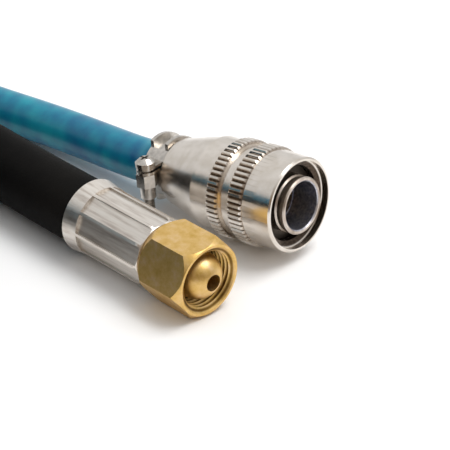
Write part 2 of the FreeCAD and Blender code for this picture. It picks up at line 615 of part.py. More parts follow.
def route_path(name, points, hose_r):
    """Straight runs joined by arcs that touch both."""
    path, radii = [], []
    start = points[0]
    for before, corner, after in zip(points, points[1:], points[2:]):
        first, second = corner - before, after - corner
        half = first.getAngle(second) / 2
        reach = ROUTE_ROUNDING * min(first.Length, second.Length)
        radii.append(reach / math.tan(half))
        first.normalize()
        second.normalize()
        inward = (second - first).normalize()
        middle = corner + inward * radii[-1] * (1 / math.cos(half) - 1)
        path.append(Part.LineSegment(start, corner - first * reach))
        path.append(Part.Arc(corner - first * reach, middle, corner + second * reach))
        start = corner + second * reach
    path.append(Part.LineSegment(start, points[-1]))
    print(name, "radii", [round(radius) for radius in radii], "least allowed", round(10 * hose_r))
    return path


def hose(name, path, radius, bore):
    """A tube along a path: its outer and inner walls, closed by a ring at each end."""
    wire = Part.Wire([piece.toShape() for piece in path])
    start, end = path[0].StartPoint, path[-1].EndPoint
    along = path[0].tangent(path[0].FirstParameter)[0]
    walls = [
        wire.makePipeShell([Part.Wire([Part.makeCircle(wall_r, start, along)])], False, False)
        for wall_r in (radius, bore)
    ]
    faces = walls[0].Faces + walls[1].Faces
    for place in (start, end):
        circles = []
        for wall in walls:
            closed = [edge for edge in wall.Edges if edge.isClosed()]
            circles.append(min(closed, key=lambda edge: (edge.CenterOfMass - place).Length))
        faces.append(Part.Face([Part.Wire([circles[0]]), Part.Wire([circles[1]])]))
    solid = Part.Solid(Part.Shell(faces))
    solid.fix(1e-6, 1e-6, 1e-6)
    thing = doc.addObject("Part::Feature", name)
    thing.Shape = solid
    expected = math.pi * (radius ** 2 - bore ** 2) * wire.Length
    share = round(solid.Volume / expected, 5)
    print(name, "length", round(wire.Length), "volume over section times length", share)
    return thing


def least_gap(path, radius):
    """The least gap of a tube to itself, measured on points of its path."""
    wire = Part.Wire([piece.toShape() for piece in path])
    step = 1.5
    points = wire.discretize(Number=int(wire.Length / step))
    skip = int(math.pi * radius / step) + 2
    least = min(
        (points[i] - points[k]).Length for i in range(0, len(points), 2) for k in range(i + skip, len(points))
    )
    return least - 2 * radius


def belt(circles, offset):
    """The wire of a belt round circles of (y, z, radius), listed the left way round."""
    count = len(circles)
    sides = []
    for index in range(count):
        (y1, z1, r1), (y2, z2, r2) = circles[index], circles[(index + 1) % count]
        line = Vector(0, y2 - y1, z2 - z1)
        lean = (r1 - r2) / line.Length
        line.normalize()
        normal = line * lean + Vector(0, line.z, -line.y) * math.sqrt(1 - lean ** 2)
        start = Vector(0, y1, z1) + normal * (r1 + offset)
        end = Vector(0, y2, z2) + normal * (r2 + offset)
        sides.append((start, end, normal))
    edges = []
    for index, (start, end, normal) in enumerate(sides):
        y, z, radius = circles[(index + 1) % count]
        following, _, next_normal = sides[(index + 1) % count]
        middle = Vector(0, y, z) + (normal + next_normal).normalize() * (radius + offset)
        edges.append(Part.makeLine(start, end))
        edges.append(Part.Arc(end, middle, following).toShape())
    return Part.Wire(edges)


def coil_strap(name, side, paths):
    """A strap round both coils where they cross the middle, on their +Y side or their -Y side."""
    reach = size("strap_width") / 2
    spans = []
    for path, radius in paths:
        points = Part.Wire([piece.toShape() for piece in path]).discretize(Number=3000)
        near = [
            point for point in points
            if abs(point.x - size("coil_x")) < reach + 1 and (point.y - size("coil_y")) * side > 0
        ]
        across = [(point.y - size("coil_y")) * side for point in near]
        up = [point.z for point in near]
        spans.append((min(across), max(across), min(up), max(up), radius))
    black, blue = spans
    circles = (
        (black[0], black[2], black[4]), (black[1], black[2], black[4]), (black[1], black[3], black[4]),
        (blue[1], blue[3], blue[4]), (blue[0], blue[3], blue[4]), (blue[0], blue[2], blue[4]),
    )
    outer, inner = [
        Part.Face(belt(circles, offset)).extrude(X * size("strap_width"))
        for offset in (size("strap_gap") + size("strap_thick"), size("strap_gap"))
    ]
    thing = doc.addObject("Part::Feature", name)
    thing.Shape = outer.cut(inner).Solids[0]
    turn = placed(Vector(size("coil_x") - reach, size("coil_y"), 0))
    if side < 0:
        turn = placed(Vector(size("coil_x") + reach, size("coil_y"), 0), Z, 180.0)
    laid(thing, turn)


def far_pose(path, hose_length):
    """The place of a fitting on the end of a coil: its mouth ahead, its own x axis back along the hose."""
    last = path[-1]
    heading = (last.EndPoint - last.StartPoint).normalize()
    mouth = last.EndPoint + heading * hose_length
    turn = math.degrees(math.atan2(-heading.y, -heading.x))
    return FreeCAD.Placement(mouth, FreeCAD.Rotation(turn, 0.0, 0.0))


def lead(name, end_piece, pose, path, radius, bore):
    """The near stretch of a hose: the end that its fitting holds, and its run to the coil."""
    end_piece.Placement = pose
    laid(fuse(name, end_piece, hose(name + "_run", path, radius, bore)), placed())


def plug():
    """A plug that fits a quick coupler, with a barb for the blue hose."""
    end = "plug_hex_back+barb_gap+barb_count*barb_step"
    corner = "plug_flats*0.6"
    body = turned("plug_turned", (
        ("0", "plug_bore_r"), ("0", "plug_tip_r"), ("plug_tip", "plug_nose_r"),
        ("plug_groove_front", "plug_nose_r"), ("plug_groove_front+plug_groove_slope", "plug_groove_r"),
        ("plug_groove_back-plug_groove_slope", "plug_groove_r"), ("plug_groove_back", "plug_nose_r"),
        ("plug_shoulder", "plug_nose_r"), ("plug_shoulder", "plug_flats*0.5"),
        ("plug_shoulder+plug_chamfer", corner), ("plug_hex_back-plug_chamfer", corner),
        ("plug_hex_back", "plug_flats*0.5"), ("plug_hex_back", "barb_root_r"), *barb_steps("plug_hex_back"),
        (end, "plug_bore_r"),
    ))
    hexagon = part("Prism", "plug_hexagon", placed(Y * 0, Y, 90.0), Circumradius="plug_flats*0.57735",
                   Height=end)
    hexagon.Polygon = 6
    return common("plug_nipple", body, hexagon)


# The whole set

coupler_sleeve()
socket_tube()
locking_balls()
coupler_rings()
valve()
coupler_body()
spring("sleeve_spring", "land_back", "flange_front", "sleeve_wire", "sleeve_spring_r", "sleeve_coils",
       coupler_pose)
hose_clamp("clamp", "cone_back+4*seat_gap", coupler_pose)

swivel_nut("swivel_nut", nut_pose)
nipple("ball_nose_nipple", nut_pose)
ferrule("ferrule", nut_pose)

black_layer = nut_height + 2 * size("black_r") + size("coil_gap")
blue_height = black_layer + size("black_r") + size("blue_r") + size("coil_gap")
black_coil = coil_path(size("black_r"), size("black_turn_r"), size("black_start"), int(size("black_loops")),
                       nut_height, 2 * int(size("black_loops")) - 1)
blue_coil = coil_path(size("blue_r"), size("blue_turn_r"), size("blue_start"), int(size("blue_loops")),
                      blue_height, 2 * int(size("blue_loops")))

black_back = "ferrule_back+0.5"
blue_back = "cone_back+seat_gap+swell_length+swell_taper+0.5"
black_points = [nut_pose.multVec(X * size(words)) for words in (black_back, black_back + "+black_run")]
black_points += [Vector(x, y, nut_height) for x, y, _ in BLACK_ROUTE] + [black_coil[0].StartPoint]
blue_points = [coupler_pose.multVec(X * size(words)) for words in (blue_back, blue_back + "+blue_run")]
blue_points += [Vector(*point) for point in BLUE_ROUTE] + [blue_coil[0].StartPoint]
black_lead = route_path("black lead", black_points, size("black_r"))
blue_lead = route_path("blue lead", blue_points, size("blue_r"))

lead("black_hose_lead", black_hose_end("black_hose_near_end", black_back), nut_pose, black_lead,
     size("black_r"), size("black_bore_r"))
lead("blue_hose_lead", blue_hose_end("blue_hose_near_end", "cone_back+seat_gap", blue_back), coupler_pose,
     blue_lead, size("blue_r"), size("blue_bore_r"))
laid(hose("black_hose_coil", black_coil, size("black_r"), size("black_bore_r")), placed())
laid(hose("blue_hose_coil", blue_coil, size("blue_r"), size("blue_bore_r")), placed())
for name, path, radius in (
    ("black", black_lead + black_coil, size("black_r")), ("blue", blue_lead + blue_coil, size("blue_r")),
):
    print(name, "hose, least gap to itself", round(least_gap(path, radius), 2))

black_end = "ferrule_back+black_tail"
black_far = far_pose(black_coil, size(black_end))
laid(black_hose_end("black_hose_tail", black_end), black_far)
swivel_nut("far_swivel_nut", black_far)
nipple("far_nipple", black_far)
ferrule("far_ferrule", black_far)

plug_barb = "plug_hex_back+seat_gap"
blue_end = plug_barb + "+swell_length+swell_taper+blue_tail"
blue_far = far_pose(blue_coil, size(blue_end))
laid(blue_hose_end("blue_hose_tail", plug_barb, blue_end), blue_far)
laid(plug(), blue_far)
hose_clamp("far_clamp", "plug_hex_back+4*seat_gap", blue_far)

both = ((black_coil, size("black_r")), (blue_coil, size("blue_r")))
coil_strap("coil_strap_1", 1, both)
coil_strap("coil_strap_2", -1, both)

doc.recompute()
for thing in doc.Objects:
    if "Invalid" in thing.State or "Error" in thing.State:
        raise RuntimeError(f"{thing.Name}: {thing.State}")
os.makedirs("parts", exist_ok=True)
for node in nodes:
    shape = node.Shape
    if shape.isNull() or not shape.isValid() or len(shape.Solids) != 1:
        raise RuntimeError(f"{node.Name}: not one valid solid")
    shape.exportStep(f"parts/{node.Name}.step")
print(len(nodes), "nodes")
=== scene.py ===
"""The looks of the air hoses: materials for the fittings, both hoses as bent tubes, lights and camera.

Metres, +Z up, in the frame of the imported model. Sizes that the model works in are written in millimetres.
"""
import json
import math

import bpy
from mathutils import Matrix, Vector


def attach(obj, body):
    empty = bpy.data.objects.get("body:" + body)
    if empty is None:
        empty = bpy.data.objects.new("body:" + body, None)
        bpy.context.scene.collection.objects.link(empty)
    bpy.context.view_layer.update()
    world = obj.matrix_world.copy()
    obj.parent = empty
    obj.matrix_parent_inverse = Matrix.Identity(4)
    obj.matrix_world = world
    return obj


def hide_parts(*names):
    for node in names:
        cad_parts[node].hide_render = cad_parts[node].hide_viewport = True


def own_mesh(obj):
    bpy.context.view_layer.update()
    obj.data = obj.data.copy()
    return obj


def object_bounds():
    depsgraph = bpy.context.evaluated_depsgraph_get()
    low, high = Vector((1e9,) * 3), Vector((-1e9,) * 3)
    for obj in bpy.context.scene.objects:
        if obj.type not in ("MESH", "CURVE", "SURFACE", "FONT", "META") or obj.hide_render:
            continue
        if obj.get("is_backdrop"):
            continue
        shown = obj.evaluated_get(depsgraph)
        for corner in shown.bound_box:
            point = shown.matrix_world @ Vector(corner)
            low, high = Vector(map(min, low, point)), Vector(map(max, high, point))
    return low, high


MM = 0.001

# the camera that the photograph was taken with: a long lens from about half a metre
CAMERA_PLACE = Vector((320.5, -294.7, 260.5)) * MM
CAMERA_RIGHT = Vector((0.6899, 0.7239, 0.0018))
CAMERA_UP = Vector((-0.3649, 0.3456, 0.8645))
CAMERA_LENS = 156.3
CAMERA_SENSOR = 36.0
CAMERA_REACH = (0.02, 20.0)

# the lamp, and the room: it brightens upwards and towards the backdrop
KEY_PLACE = (0.25, 0.35, 1.0)
KEY_SIZE = (0.8, 0.6)
KEY_POWER = 8.0
WORLD_STRENGTH = 0.85
BACKDROP_WAY = Vector((-0.44, 0.41, 1.0))
ROOM_TONES = ((0.12, (0.15, 0.105, 0.075)), (0.38, (0.30, 0.22, 0.155)), (0.58, 0.8), (1.0, 1.0))

# floor: half its side, its tone, and how far it lies below the hoses
FLOOR_HALF = 4.0
FLOOR_TONE = 0.93
FLOOR_DROP = 0.2 * MM

# the nickel plate's own colour, and where it is worn
NICKEL = (0.78, 0.725, 0.665)
NICKEL_WORN = (0.68, 0.62, 0.55)

# painted shade in the knurls' grooves, from dark to light
KNURL_GROOVE_SHADE = ((0.22, 0.165, 0.125), (0.42, 0.35, 0.28))

# fittings: where their mouths are, how they lie, and stations counted back from the mouth
COUPLER_MOUTH = Vector((22.3, 17.2, 15.524)) * MM
COUPLER_TURN = math.radians(5.9)
COUPLER_TILT = math.radians(6.0)
NUT_MOUTH = Vector((27.4, -18.6, 10.098)) * MM
BARB_FRONT = 41.85 * MM
MOUTH_RADIUS = 11.3 * MM
SOCKET_RADIUS = 6.65 * MM
KNURL_ROOT = 12.45 * MM
KNURL_CREST = 13.05 * MM
SLEEVE_KNURL = (9.6 * MM, 14.3 * MM)
BODY_KNURL = (17.7 * MM, 21.5 * MM)
THREAD_CREST = 7.8 * MM
THREAD_ROOT = 8.4 * MM
THREAD_REACH = (0.5 * MM, 12.0 * MM)
ANY_STATION = (-1.0, 1.0)
FERRULE_BACK = 45.5 * MM
CRIMP_BACK = 40.9 * MM

# springs inside the coupler: the joints that squeeze them, and by how much
SPRINGS = (("sleeve_spring", "sleeve_slide", 3.2 * MM), ("valve_spring", "valve_slide", 3.0 * MM))

# hoses
BLACK_RADIUS = 9.0 * MM
BLUE_RADIUS = 6.0 * MM
BLUE_SWELL = 6.9 * MM
SWELL_LENGTH = 8.0 * MM
SWELL_TAPER = 2.2 * MM
BLACK_RUN = 25.0 * MM
BLUE_RUN = 6.5 * MM
BLACK_TAIL = 24.0 * MM
BLUE_TAIL = 28.0 * MM

# how deep the black hose starts in its ferrule, and the straight stretch behind a fitting
HOSE_INSET = 1 * MM
STRAIGHT = 0.5 * MM

# the braid in the blue hose: length of a diamond, and diamonds round the girth
BRAID_PITCH = 12.5 * MM
BRAID_TURNS = 2.0

# coils
COIL_CENTRE = Vector((-96.6, -169.6, 0)) * MM
COIL_GAP = 0.6 * MM
BLACK_TURN_RADIUS = 117.0 * MM
BLUE_TURN_RADIUS = 86.5 * MM
BLACK_START = math.radians(180.0)
BLUE_START = math.radians(225.0)
BLACK_LOOPS = 2
BLUE_LOOPS = 3
POINTS_PER_HALF_TURN = 12

# the routes' points between the fittings and the coils: x, y, z in millimetres
BLACK_ROUTE = (
    (-80.0, -17.2, 10.1), (-116.8, -20.4, 10.1), (-151.4, -30.8, 10.1), (-180.9, -51.4, 10.1),
    (-202.3, -80.4, 10.1), (-213.2, -116.6, 10.1),
)
BLUE_ROUTE = (
    (-66.0, 10.4, 7.0), (-95.6, 5.4, 6.0), (-126.6, 0.6, 6.0), (-157.8, -11.7, 6.0),
    (-186.9, -32.9, 8.5), (-208.6, -61.6, 17.0), (-219.4, -95.6, 30.0), (-220.7, -131.8, 42.3),
    (-211.4, -166.6, 44.6), (-191.8, -196.8, 44.3),
)

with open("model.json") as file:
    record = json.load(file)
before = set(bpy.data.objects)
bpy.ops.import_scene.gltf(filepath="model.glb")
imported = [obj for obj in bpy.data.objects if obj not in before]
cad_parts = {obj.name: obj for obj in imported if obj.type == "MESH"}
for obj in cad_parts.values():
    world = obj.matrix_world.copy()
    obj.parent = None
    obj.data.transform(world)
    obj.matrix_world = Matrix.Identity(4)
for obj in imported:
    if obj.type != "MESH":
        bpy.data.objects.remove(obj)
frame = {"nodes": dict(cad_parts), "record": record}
cad_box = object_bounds()


# Materials

def add(tree, kind, inputs=None, **settings):
    """A shader node, with its settings and with values or sockets on its inputs."""
    node = tree.nodes.new("ShaderNode" + kind)
    for name, value in settings.items():
        setattr(node, name, value)
    for name, value in (inputs or {}).items():
        if isinstance(value, bpy.types.NodeSocket):
            tree.links.new(value, node.inputs[name])
        else:
            node.inputs[name].default_value = value
    return node


def start(name, **values):
    """A new material and its principled shader."""
    material = bpy.data.materials.new(name)
    material.use_nodes = True
    shader = material.node_tree.nodes["Principled BSDF"]
    for key, value in values.items():
        shader.inputs[key.replace("_", " ").capitalize() if key.islower() else key].default_value = value
    return material, material.node_tree, shader


def noise(tree, scale, detail=4.0, vector=None, roughness=0.5):
    inputs = {"Scale": scale, "Detail": detail, "Roughness": roughness}
    inputs["Vector"] = vector or add(tree, "TexCoord").outputs["Object"]
    return add(tree, "TexNoise", inputs).outputs["Fac"]


def ramp(tree, factor, *stops):
    node = add(tree, "ValToRGB", {"Fac": factor})
    elements = node.color_ramp.elements
    while len(elements) < len(stops):
        elements.new(0.5)
    for element, (place, colour) in zip(elements, stops):
        element.position = place
        element.color = (*colour, 1.0) if hasattr(colour, "__len__") else (colour, colour, colour, 1.0)
    return node.outputs["Color"]


def scaled(tree, value, low, high):
    node = add(tree, "MapRange", {"Value": value, "To Min": low, "To Max": high})
    return node.outputs["Result"]


def relief(tree, shader, height, distance, strength=1.0):
    bump = add(tree, "Bump", {"Height": height, "Distance": distance, "Strength": strength})
    tree.links.new(bump.outputs["Normal"], shader.inputs["Normal"])


def shaded(tree, shader, factor, *stops):
    tree.links.new(ramp(tree, factor, *stops), shader.inputs["Base Color"])


def rough(tree, shader, factor, low, high):
    tree.links.new(scaled(tree, factor, low, high), shader.inputs["Roughness"])


def along(tree, axis, scale):
    """Rings about an axis: noise that changes only along it."""
    place = add(tree, "TexCoord").outputs["Object"]
    station = add(tree, "VectorMath", {0: place, 1: axis}, operation="DOT_PRODUCT").outputs["Value"]
    return noise(tree, scale, 2.0, add(tree, "CombineXYZ", {"X": station}).outputs["Vector"])


def on_axis(tree, mouth, axis):
    """How far a point lies from a fitting's axis, and how far behind the fitting's mouth."""
    place = add(tree, "TexCoord").outputs["Object"]
    arm = add(tree, "VectorMath", {0: place, 1: mouth}, operation="SUBTRACT").outputs["Vector"]
    side = add(tree, "VectorMath", {0: arm, 1: axis}, operation="CROSS_PRODUCT").outputs["Vector"]
    reach = add(tree, "VectorMath", {0: side}, operation="LENGTH").outputs["Value"]
    station = add(tree, "VectorMath", {0: arm, 1: -axis}, operation="DOT_PRODUCT").outputs["Value"]
    return reach, station


def within(tree, value, low, high, edge=0.15 * MM):
    """1 where a value lies between two limits, 0 outside them."""
    rising = add(tree, "MapRange", {"Value": value, "From Min": low - edge, "From Max": low + edge})
    falling = add(tree, "MapRange", {"Value": value, "From Min": high + edge, "From Max": high - edge})
    both = {0: rising.outputs["Result"], 1: falling.outputs["Result"]}
    return add(tree, "Math", both, operation="MULTIPLY").outputs["Value"]


def ring_zone(tree, mouth, axis, reaches, stations):
    """1 in a ring about a fitting's axis, between two radii and two stations."""
    reach, station = on_axis(tree, mouth, axis)
    both = {0: within(tree, reach, *reaches), 1: within(tree, station, *stations)}
    return add(tree, "Math", both, operation="MULTIPLY").outputs["Value"]


def blended(tree, factor, inner, outer):
    node = add(tree, "Mix", {"Factor": factor}, data_type="RGBA")
    tree.links.new(inner, node.inputs[6])
    tree.links.new(outer, node.inputs[7])
    return node.outputs[2]


def plated(name, colour, worn, gloss, axis=None, zones=()):
    """Nickel plate: a little uneven in colour and gloss, with fine turned rings, and a tone of its own in
    some zones: painted shade in the knurls' grooves and in the sleeve's mouth, a bluer grey in the socket's
    bore.
    """
    material, tree, shader = start(name, Metallic=1.0)
    outside = ramp(tree, noise(tree, 260.0, 5.0), (0.35, worn), (0.6, colour))
    for reaches, stations, dark, light in zones:
        inside = ramp(tree, noise(tree, 1500.0, 4.0), (0.35, dark), (0.7, light))
        outside = blended(tree, ring_zone(tree, COUPLER_MOUTH, axis, reaches, stations), outside, inside)
    tree.links.new(outside, shader.inputs["Base Color"])
    rough(tree, shader, noise(tree, 900.0, 3.0), gloss * 0.75, gloss * 1.3)
    height = along(tree, axis, 4000.0) if axis else noise(tree, 2500.0, 2.0)
    relief(tree, shader, height, 0.000012)
    return material


def crimped(name, stretch):
    """Satin plate on the ferrules, streaked the way that the crimping jaws drew it."""
    material, tree, shader = start(name, Metallic=1.0)
    whole = add(tree, "TexCoord").outputs["Object"]
    place = add(tree, "VectorMath", {0: whole, 1: stretch}, operation="MULTIPLY")
    streaks = noise(tree, 900.0, 5.0, place.outputs["Vector"], 0.6)
    shaded(tree, shader, streaks,
           (0.3, (0.50, 0.44, 0.39)), (0.5, (0.72, 0.67, 0.61)), (0.7, (0.80, 0.76, 0.71)))
    rough(tree, shader, streaks, 0.3, 0.46)
    relief(tree, shader, streaks, 0.00003)
    return material


def machined_brass():
    """Satin brass, a little tarnished, with painted shade in the near nut's thread."""
    material, tree, shader = start("machined_brass", Metallic=1.0)
    cloud = noise(tree, 300.0, 7.0, roughness=0.7)
    outside = ramp(tree, cloud,
                   (0.3, (0.60, 0.37, 0.09)), (0.5, (0.72, 0.48, 0.17)), (0.72, (0.81, 0.58, 0.32)))
    # painted shade in the near nut's thread: dark brown between the thread's crest and root radii
    thread = ring_zone(tree, NUT_MOUTH, Vector((1, 0, 0)), (THREAD_CREST, THREAD_ROOT), THREAD_REACH)
    inside = ramp(tree, cloud, (0.3, (0.10, 0.05, 0.01)), (0.7, (0.26, 0.15, 0.04)))
    tree.links.new(blended(tree, thread, outside, inside), shader.inputs["Base Color"])
    rough(tree, shader, noise(tree, 1500.0, 5.0), 0.32, 0.5)
    relief(tree, shader, noise(tree, 3200.0, 3.0), 0.00002)
    return material


def plain_steel(name, colour, gloss):
    material, tree, shader = start(name, Metallic=1.0)
    shaded(tree, shader, noise(tree, 700.0), (0.3, tuple(c * 0.7 for c in colour)), (0.7, colour))
    rough(tree, shader, noise(tree, 1800.0), gloss * 0.7, gloss * 1.4)
    return material


def seal_rubber():
    material, tree, shader = start("seal_rubber")
    shaded(tree, shader, noise(tree, 900.0), (0.3, 0.012), (0.7, 0.03))
    shader.inputs["Roughness"].default_value = 0.5
    return material


def black_hose_rubber():
    """Dull rubber with the faint weave of the cloth that it was cured in."""
    material, tree, shader = start("black_hose_rubber")
    shaded(tree, shader, noise(tree, 60.0, 6.0), (0.3, 0.004), (0.75, (0.010, 0.009, 0.008)))
    rough(tree, shader, noise(tree, 1200.0), 0.5, 0.7)
    shader.inputs["Specular IOR Level"].default_value = 0.03
    relief(tree, shader, noise(tree, 2600.0, 4.0), 0.00006)
    return material


def blue_hose_wall():
    """A clear blue wall over two layers of yarn that cross: soft diamonds, seen faintly."""
    material, tree, shader = start("blue_hose_wall", Roughness=0.3)
    where = add(tree, "SeparateXYZ", {"Vector": add(tree, "UVMap", uv_map="UVMap").outputs["UV"]})
    bands = []
    for turns in (BRAID_TURNS, -BRAID_TURNS):
        girth = add(tree, "Math", {0: where.outputs["Y"], 1: turns}, operation="MULTIPLY")
        inputs = {0: where.outputs["X"], 1: 1 / BRAID_PITCH, 2: girth.outputs["Value"]}
        phase = add(tree, "Math", inputs, operation="MULTIPLY_ADD")
        angle = add(tree, "Math", {0: phase.outputs["Value"], 1: math.tau}, operation="MULTIPLY")
        bands.append(add(tree, "Math", {0: angle.outputs["Value"]}, operation="SINE").outputs["Value"])
    both = add(tree, "Math", {0: bands[0], 1: bands[1]}, operation="MULTIPLY").outputs["Value"]
    cloud = add(tree, "Math", {0: noise(tree, 120.0, 3.0), 1: 1.2}, operation="MULTIPLY").outputs["Value"]
    mixed = add(tree, "Math", {0: both, 1: 0.1, 2: cloud}, operation="MULTIPLY_ADD").outputs["Value"]
    shaded(tree, shader, mixed,
           (0.3, (0.003, 0.09, 0.22)), (0.6, (0.004, 0.185, 0.30)), (0.85, (0.008, 0.27, 0.36)))
    shader.inputs["Specular IOR Level"].default_value = 0.35
    relief(tree, shader, both, 0.00003)
    return material


def woven_strap():
    material, tree, shader = start("woven_strap", Roughness=0.85)
    place = add(tree, "TexCoord").outputs["Object"]
    wave = {"Vector": place, "Scale": 260.0, "Distortion": 1.5}
    weave = add(tree, "TexWave", wave, bands_direction="X").outputs["Fac"]
    cross = add(tree, "TexWave", wave, bands_direction="Z").outputs["Fac"]
    both = add(tree, "Math", {0: weave, 1: cross}, operation="MULTIPLY").outputs["Value"]
    shaded(tree, shader, both, (0.1, 0.012), (0.8, 0.05))
    relief(tree, shader, both, 0.0002)
    return material


def dress_the_fittings():
    """Every CAD node's material by its slot, with a look of their own for three nodes."""
    coupler_axis = Vector((1, 0, 0))
    coupler_axis.rotate(lie(COUPLER_TURN, -COUPLER_TILT))
    bore = ((-1.0, SOCKET_RADIUS), ANY_STATION, (0.34, 0.35, 0.42), (0.66, 0.65, 0.67))
    # painted shade inside the sleeve's mouth: near black within the mouth's radius
    mouth = ((-1.0, MOUTH_RADIUS), ANY_STATION, (0.04, 0.028, 0.02), (0.11, 0.08, 0.06))
    # painted shade in the knurls' grooves: darker between the knurls' root and crest radii
    sleeve_knurl = ((KNURL_ROOT, KNURL_CREST), SLEEVE_KNURL, *KNURL_GROOVE_SHADE)
    body_knurl = ((KNURL_ROOT, KNURL_CREST), BODY_KNURL, *KNURL_GROOVE_SHADE)
    looks = {
        "nickel": plated("nickel_plate", NICKEL, NICKEL_WORN, 0.23, coupler_axis, (body_knurl,)),
        # the socket's plate: darker and browner than the outer plate, as painted shade deep inside the
        # coupler, with a bluer grey within the bore
        "nickel_bore": plated("turned_socket", (0.60, 0.53, 0.47), (0.38, 0.31, 0.25), 0.34, coupler_axis,
                              (bore,)),
        "ferrule_nickel": crimped("crimped_plate", (0.08, 1.0, 1.0)),
        "clamp_steel": plain_steel("clamp_zinc", (0.66, 0.62, 0.57), 0.22),
        "steel": plain_steel("plain_steel", (0.55, 0.55, 0.56), 0.3),
        "brass": machined_brass(),
        "seal_rubber": seal_rubber(),
        "strap": woven_strap(),
        "black_hose": black_hose_rubber(),
        "blue_hose": blue_hose_wall(),
    }
    for piece in frame["record"]["subparts"]:
        node = frame["nodes"][piece["node"]]
        for slot in node.material_slots:
            slot.material = looks[piece["material_slot"]]
    special = {
        "coupler_sleeve": plated("sleeve_plate", NICKEL, NICKEL_WORN, 0.2, coupler_axis,
                                 (mouth, sleeve_knurl)),
        "retaining_ring": plain_steel("blackened_ring", (0.05, 0.04, 0.032), 0.4),
        "far_ferrule": crimped("far_crimped_plate", (1.0, 0.08, 1.0)),
    }
    for name, look in special.items():
        for slot in frame["nodes"][name].material_slots:
            slot.material = look
    return looks


# Places on the fittings, and springs

def lie(turn, tilt):
    """The turn of a fitting on its own axis's way, from pointing along +X."""
    return Matrix.Rotation(turn, 3, "Z") @ Matrix.Rotation(tilt, 3, "Y")


def behind(mouth, turn, tilt, station):
    """A point on a fitting's axis, counted back from its mouth."""
    back = Vector((-1, 0, 0))
    back.rotate(lie(turn, -tilt))
    return mouth + back * station


def squeezed_spring(name, joint, travel):
    """A copy of a spring where its CAD node stands, put on the hoses' body in place of that node."""
    node = frame["nodes"][name]
    spring = bpy.data.objects.new(name + "_squeezed", node.data.copy())
    bpy.context.collection.objects.link(spring)
    spring.matrix_world = node.matrix_world
    back = behind(Vector(), COUPLER_TURN, COUPLER_TILT, 1.0)
    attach(spring, "hoses")
    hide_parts(name)
    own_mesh(spring)


# Hoses


def coil_points(radius, turn_radius, angle, loops, turns_out, height):
    """Corners that a coil's half turns touch between: in to the middle, up, and out again."""
    pitch = 2 * radius + COIL_GAP
    centre = COIL_CENTRE + Vector((0, 0, height))
    step = math.pi / POINTS_PER_HALF_TURN
    points = []
    halves = [(-1, 0.0)] * (2 * loops) + [(1, pitch)] + [(1, 0.0)] * turns_out
    for outward, climb in halves:
        for index in range(POINTS_PER_HALF_TURN):
            share = (index + 0.5) / POINTS_PER_HALF_TURN
            here = angle + (index + 0.5) * step
            reach = turn_radius / math.cos(step / 2)
            rise = climb * (1 - math.cos(share * math.pi)) / 2
            points.append(centre + Vector((reach * math.cos(here), reach * math.sin(here), rise)))
        angle += math.pi
        out = Vector((math.cos(angle), math.sin(angle), 0))
        centre = centre + Vector((0, 0, climb)) - out * outward * pitch / 2
        turn_radius += outward * pitch / 2
    last = centre + out * turn_radius
    heading = Vector((-math.sin(angle), math.cos(angle), 0))
    return points, last, heading


def smooth_line(points):
    """The points along a NURBS spline with the given control points."""
    curve = bpy.data.curves.new("line", "CURVE")
    curve.dimensions = "3D"
    spline = curve.splines.new("NURBS")
    spline.points.add(len(points) - 1)
    for corner, point in zip(spline.points, points):
        corner.co = (*point, 1.0)
    spline.order_u = 3
    spline.use_endpoint_u = True
    curve.resolution_u = 8
    holder = bpy.data.objects.new("line", curve)
    mesh = bpy.data.meshes.new_from_object(holder)
    line = [vertex.co.copy() for vertex in mesh.vertices]
    bpy.data.objects.remove(holder)
    bpy.data.curves.remove(curve)
    bpy.data.meshes.remove(mesh)
    return line


def bent_tube(name, line, radius_at, material, sides=40):
    """A tube's mesh along a line, with its length and its girth in its UV map."""
    stations = [0.0]
    for before, after in zip(line, line[1:]):
        stations.append(stations[-1] + (after - before).length)
    ways = [(line[min(i + 1, len(line) - 1)] - line[max(i - 1, 0)]).normalized() for i in range(len(line))]
    side = ways[0].cross(Vector((0, 0, 1))).normalized()
    vertices = []
    for place, way, station in zip(line, ways, stations):
        side = (side - way * side.dot(way)).normalized()
        up = way.cross(side)
        radius = radius_at(station, stations[-1])
        for index in range(sides):
            angle = math.tau * index / sides
            vertices.append(place + (side * math.cos(angle) + up * math.sin(angle)) * radius)
    faces, corners = [], []
    for ring in range(len(line) - 1):
        for index in range(sides):
            first, second = ring * sides + index, ring * sides + (index + 1) % sides
            faces.append((first, second, second + sides, first + sides))
            low, high = index / sides, (index + 1) / sides
            corners += [(stations[ring], low), (stations[ring], high),
                        (stations[ring + 1], high), (stations[ring + 1], low)]
    faces.append(tuple(reversed(range(sides))))
    faces.append(tuple(range(len(vertices) - sides, len(vertices))))
    corners += [(0.0, 0.0)] * (2 * sides)
    mesh = bpy.data.meshes.new(name)
    mesh.from_pydata(vertices, [], faces)
    layer = mesh.uv_layers.new(name="UVMap")
    for loop, corner in zip(layer.data, corners):
        loop.uv = corner
    mesh.shade_smooth()
    mesh.materials.append(material)
    tube = bpy.data.objects.new(name, mesh)
    bpy.context.collection.objects.link(tube)
    return tube


